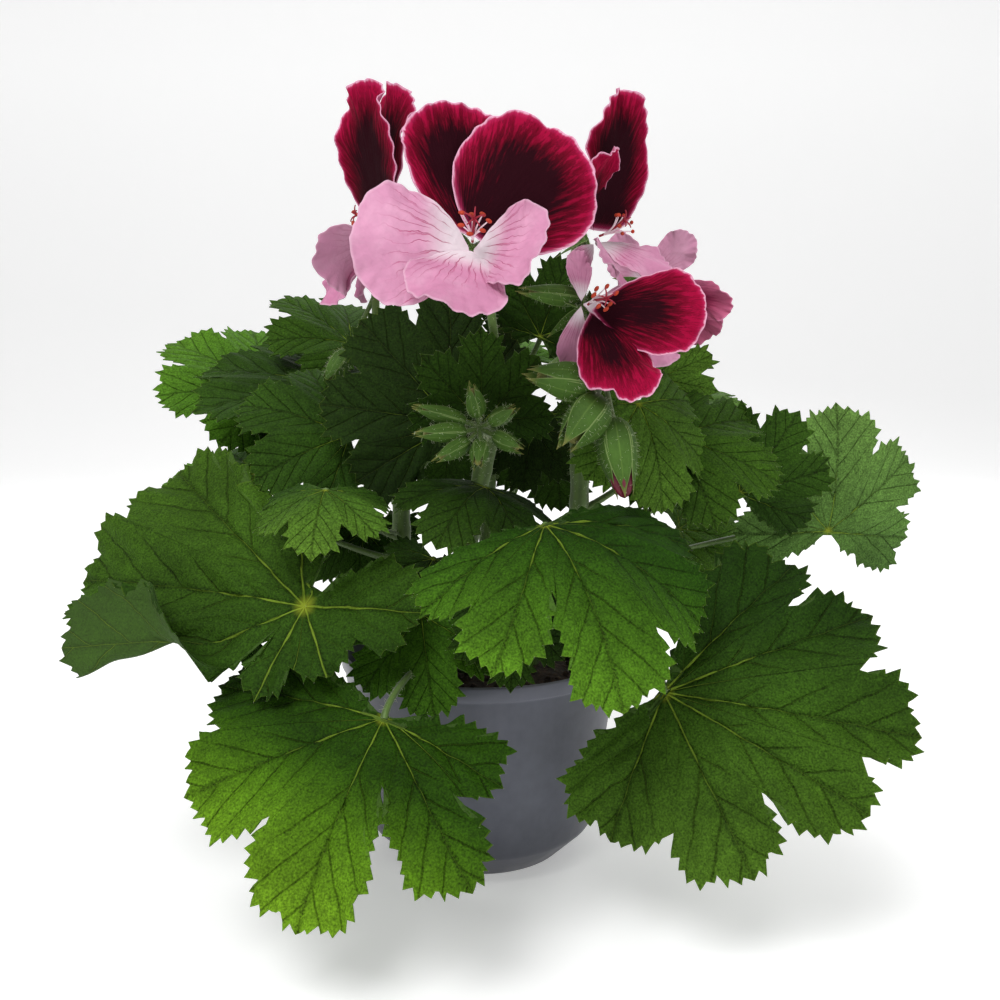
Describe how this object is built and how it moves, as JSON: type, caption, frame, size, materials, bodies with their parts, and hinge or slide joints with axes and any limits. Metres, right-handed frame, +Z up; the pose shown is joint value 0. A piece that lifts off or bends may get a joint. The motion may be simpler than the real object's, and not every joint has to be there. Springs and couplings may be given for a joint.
{
  "type": "potted pelargonium",
  "caption": "Regal pelargonium with lobed, toothed leaves, pink and dark red blooms and hairy buds, growing from soil in a round plastic nursery pot.",
  "frame": {"origin": "centre of the pot's flat underside", "axes": "+Z up along the pot's axis, -Y towards the plant's front as the picture shows it, +X to the right"},
  "size_m": [0.3048, 0.2229, 0.2683],
  "materials": {
    "pot_plastic": "thin formed plastic, satin",
    "soil": "loose dark peat, rough",
    "foliage": "soft velvety leaf",
    "dark_petal": "velvety petal, dark maroon to crimson",
    "pale_petal": "soft petal, pale pink",
    "stamen": "matt, orange-red"
  },
  "bodies": {
    "root": {"pot": "pot_plastic", "soil": "soil", "leafy_stem_front": "foliage", "leafy_stem_left": "foliage", "leafy_stem_right": "foliage", "leafy_stem_back": "foliage", "bloom_front_upper_petals": "dark_petal", "bloom_front_lower_petals": "pale_petal", "bloom_front_stamens": "stamen", "bloom_left_upper_petals": "dark_petal", "bloom_left_lower_petals": "pale_petal", "bloom_left_stamens": "stamen", "bloom_right_upper_petals": "dark_petal", "bloom_right_lower_petals": "pale_petal", "bloom_right_stamens": "stamen", "bloom_low_upper_petals": "dark_petal", "bloom_low_lower_petals": "pale_petal", "bloom_low_stamens": "stamen", "bloom_rear_upper_petals": "dark_petal", "bloom_rear_lower_petals": "pale_petal", "bloom_rear_stamens": "stamen", "opening_bud_petals": "dark_petal"}
  },
  "joints": []
}
